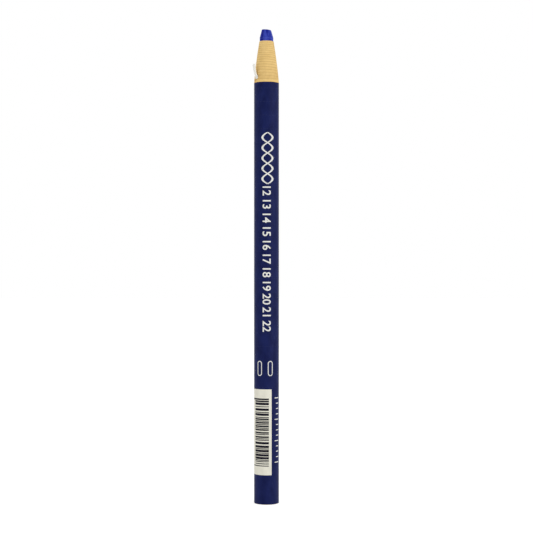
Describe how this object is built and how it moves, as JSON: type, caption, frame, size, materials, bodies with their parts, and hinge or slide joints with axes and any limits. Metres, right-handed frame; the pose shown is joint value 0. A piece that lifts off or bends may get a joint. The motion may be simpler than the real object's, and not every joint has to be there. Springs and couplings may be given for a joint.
{
  "type": "china marker",
  "caption": "Peel-off china marker: a wax core in a perforated paper roll with a pull string, ground to a cone at the tip, under a printed wrapper.",
  "frame": {"origin": "centre of the flat butt face", "axes": "+Z along the marker towards the writing tip; the printed front faces -Y and the string comes out on the -X side"},
  "size_m": [0.0097, 0.0094, 0.1778],
  "materials": {
    "wax": "satin",
    "kraft_paper": "matte",
    "printed_paper": "satin",
    "cotton_string": "matte"
  },
  "bodies": {
    "barrel": {"wax_core": "wax", "peel_strip_01": "kraft_paper", "peel_strip_02": "kraft_paper", "peel_strip_03": "kraft_paper", "peel_strip_04": "kraft_paper", "peel_strip_05": "kraft_paper", "peel_strip_06": "kraft_paper", "peel_strip_07": "kraft_paper", "peel_strip_08": "kraft_paper", "peel_strip_09": "kraft_paper", "peel_strip_10": "kraft_paper", "peel_strip_11": "kraft_paper", "peel_strip_12": "kraft_paper", "lower_roll": "kraft_paper", "barrel_wrapper": "printed_paper", "pull_string": "cotton_string"},
    "lower_cone_strip": {"cone_strip_3": "kraft_paper"},
    "middle_cone_strip": {"cone_strip_2": "kraft_paper"},
    "upper_cone_strip": {"cone_strip_1": "kraft_paper"},
    "string_tail": {"string_tail": "cotton_string"}
  },
  "joints": [
    {"name": "lower_cone_strip_peel", "type": "slide", "parent": "barrel", "child": "lower_cone_strip", "axis": [0, 0, 1], "range_m": [0, 0.0183]},
    {"name": "middle_cone_strip_peel", "type": "slide", "parent": "lower_cone_strip", "child": "middle_cone_strip", "axis": [0, 0, 1], "range_m": [0, 0.0132]},
    {"name": "upper_cone_strip_peel", "type": "slide", "parent": "middle_cone_strip", "child": "upper_cone_strip", "axis": [0, 0, 1], "range_m": [0, 0.0081]},
    {"name": "string_tail_swing", "type": "hinge", "parent": "barrel", "child": "string_tail", "pos_m": [-0.00331, -0.00259, 0.15916], "axis": [0.6157, -0.788, 0], "range_deg": [-10, 85]}
  ]
}
